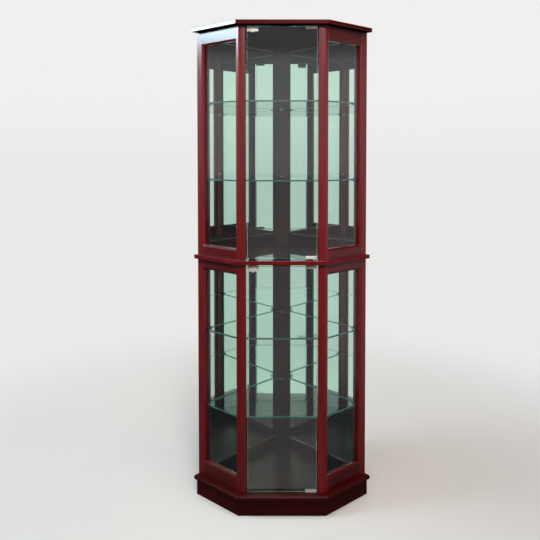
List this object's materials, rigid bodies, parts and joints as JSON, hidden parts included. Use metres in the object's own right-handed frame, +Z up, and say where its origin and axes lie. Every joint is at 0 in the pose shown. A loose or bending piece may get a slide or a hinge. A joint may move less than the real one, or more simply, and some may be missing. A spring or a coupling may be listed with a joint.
{
  "type": "corner curio cabinet",
  "caption": "Five-sided corner display cabinet in two glazed stages, with mirrored backs, glass shelves and frameless glass doors on pivot clips with touch latches.",
  "frame": {"origin": "on the floor, in the middle of the bounding box", "axes": "+Z up, the doors face -Y, +X to the right as seen from the front"},
  "size_m": [0.682, 0.49, 1.8],
  "materials": {
    "lacquered_wood": "red-brown stain under a glossy lacquer",
    "clear_glass": "clear float glass, polished edges",
    "shelf_glass": "clear float glass with green edges",
    "mirror_glass": "silvered float glass, slightly green",
    "back_board": "plain hardboard, matt",
    "satin_metal": "pale satin plating",
    "latch_plastic": "dark moulded plastic",
    "clip_plastic": "clear moulded plastic",
    "nylon": "natural nylon",
    "screw_steel": "zinc plated",
    "dowel_wood": "plain beech"
  },
  "bodies": {
    "root": {"top_panel": "lacquered_wood", "waist_panel": "lacquered_wood", "floor_panel": "lacquered_wood", "plinth_front": "lacquered_wood", "plinth_left": "lacquered_wood", "plinth_right": "lacquered_wood", "plinth_back": "lacquered_wood", "base_moulding_front": "lacquered_wood", "base_moulding_left": "lacquered_wood", "base_moulding_right": "lacquered_wood", "upper_front_post_left": "lacquered_wood", "upper_rear_post_left": "lacquered_wood", "upper_side_bottom_rail_left": "lacquered_wood", "upper_side_top_rail_left": "lacquered_wood", "upper_back_rails_left": "lacquered_wood", "upper_side_glass_left": "clear_glass", "upper_mirror_left": "mirror_glass", "upper_front_post_right": "lacquered_wood", "upper_rear_post_right": "lacquered_wood", "upper_side_bottom_rail_right": "lacquered_wood", "upper_side_top_rail_right": "lacquered_wood", "upper_back_rails_right": "lacquered_wood", "upper_side_glass_right": "clear_glass", "upper_mirror_right": "mirror_glass", "upper_corner_post": "lacquered_wood", "upper_shelf_1": "shelf_glass", "upper_shelf_2": "shelf_glass", "upper_latch_body": "latch_plastic", "lower_front_post_left": "lacquered_wood", "lower_rear_post_left": "lacquered_wood", "lower_side_bottom_rail_left": "lacquered_wood", "lower_side_top_rail_left": "lacquered_wood", "lower_back_rails_left": "lacquered_wood", "lower_side_glass_left": "clear_glass", "lower_mirror_left": "mirror_glass", "lower_front_post_right": "lacquered_wood", "lower_rear_post_right": "lacquered_wood", "lower_side_bottom_rail_right": "lacquered_wood", "lower_side_top_rail_right": "lacquered_wood", "lower_back_rails_right": "lacquered_wood", "lower_side_glass_right": "clear_glass", "lower_mirror_right": "mirror_glass", "lower_corner_post": "lacquered_wood", "lower_shelf_1": "shelf_glass", "lower_shelf_2": "shelf_glass", "lower_latch_body": "latch_plastic", "glazing_beads": "lacquered_wood", "back_boards": "back_board", "shelf_clips": "clip_plastic", "pivot_bushes": "nylon", "latch_screws": "screw_steel", "dowels": "dowel_wood"},
    "upper_door": {"upper_door_glass": "clear_glass", "upper_hinge_clips": "satin_metal", "upper_strike_plate": "satin_metal"},
    "lower_door": {"lower_door_glass": "clear_glass", "lower_hinge_clips": "satin_metal", "lower_strike_plate": "satin_metal"},
    "upper_plunger": {"upper_latch_plunger": "latch_plastic"},
    "lower_plunger": {"lower_latch_plunger": "latch_plastic"}
  },
  "joints": [
    {"name": "upper_door_hinge", "type": "hinge", "parent": "root", "child": "upper_door", "pos_m": [0.116, -0.2145, 1.362], "axis": [0, 0, 1], "range_deg": [0, 125]},
    {"name": "upper_latch_press", "type": "slide", "parent": "root", "child": "upper_plunger", "axis": [0, 1, 0], "range_m": [0, 0.0035], "stiffness_N_per_m": 200, "springref_m": -0.004},
    {"name": "lower_door_hinge", "type": "hinge", "parent": "root", "child": "lower_door", "pos_m": [0.116, -0.2145, 0.501], "axis": [0, 0, 1], "range_deg": [0, 125]},
    {"name": "lower_latch_press", "type": "slide", "parent": "root", "child": "lower_plunger", "axis": [0, 1, 0], "range_m": [0, 0.0035], "stiffness_N_per_m": 200, "springref_m": -0.004}
  ]
}
